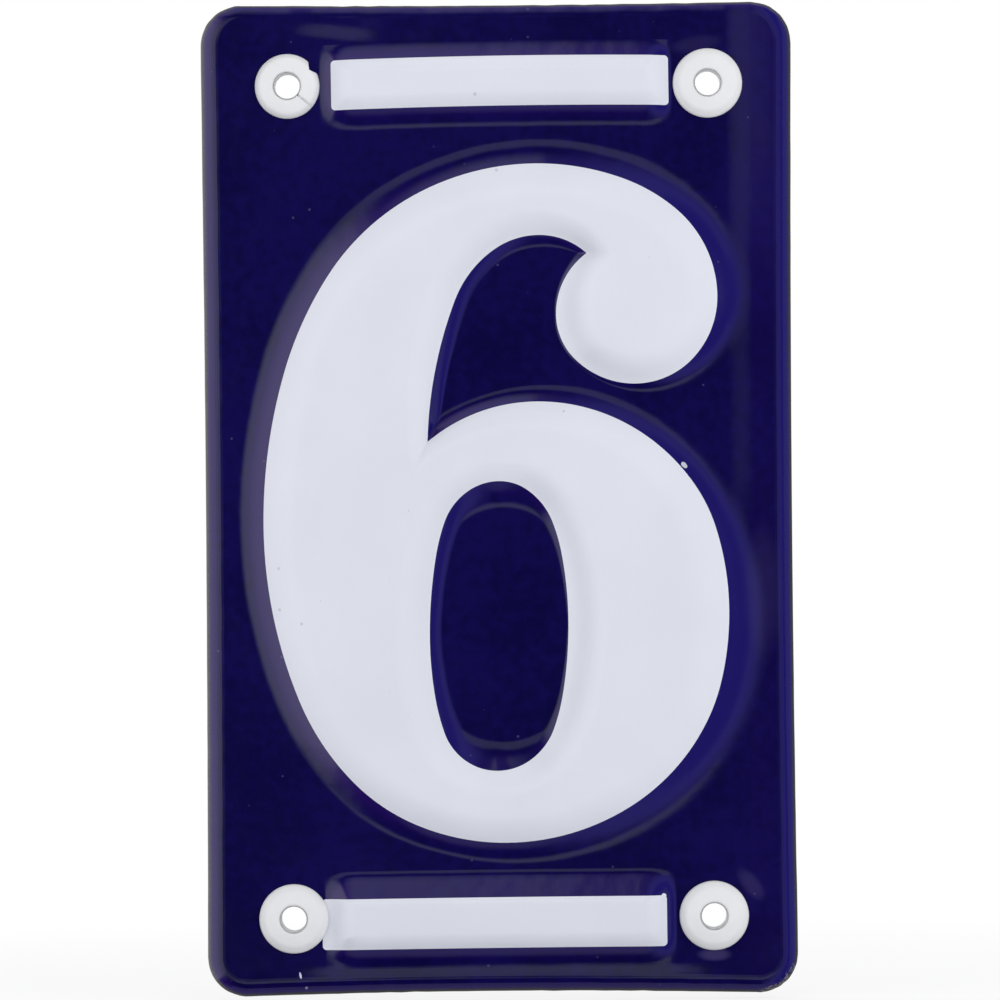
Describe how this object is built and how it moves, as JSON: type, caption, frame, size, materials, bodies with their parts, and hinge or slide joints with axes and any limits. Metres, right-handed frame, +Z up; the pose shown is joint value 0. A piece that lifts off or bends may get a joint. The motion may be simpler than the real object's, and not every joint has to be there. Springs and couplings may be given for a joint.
{
  "type": "house number plaque",
  "caption": "Upright enamelled steel door plaque with a raised white numeral and bars on a deep blue field, a turned-back border and white plastic bushes in its corner screw holes.",
  "frame": {"origin": "on the wall's plane, behind the middle of the four screw holes", "axes": "+Z up the plate, +X to the right as it is read, +Y into the wall, so that the face looks along -Y"},
  "size_m": [0.0896, 0.0061, 0.1503],
  "materials": {
    "enamel": "gloss",
    "bush": "satin"
  },
  "bodies": {
    "root": {"number_plate": "enamel", "grommet_top_left": "bush", "grommet_top_right": "bush", "grommet_bottom_left": "bush", "grommet_bottom_right": "bush"}
  },
  "joints": []
}
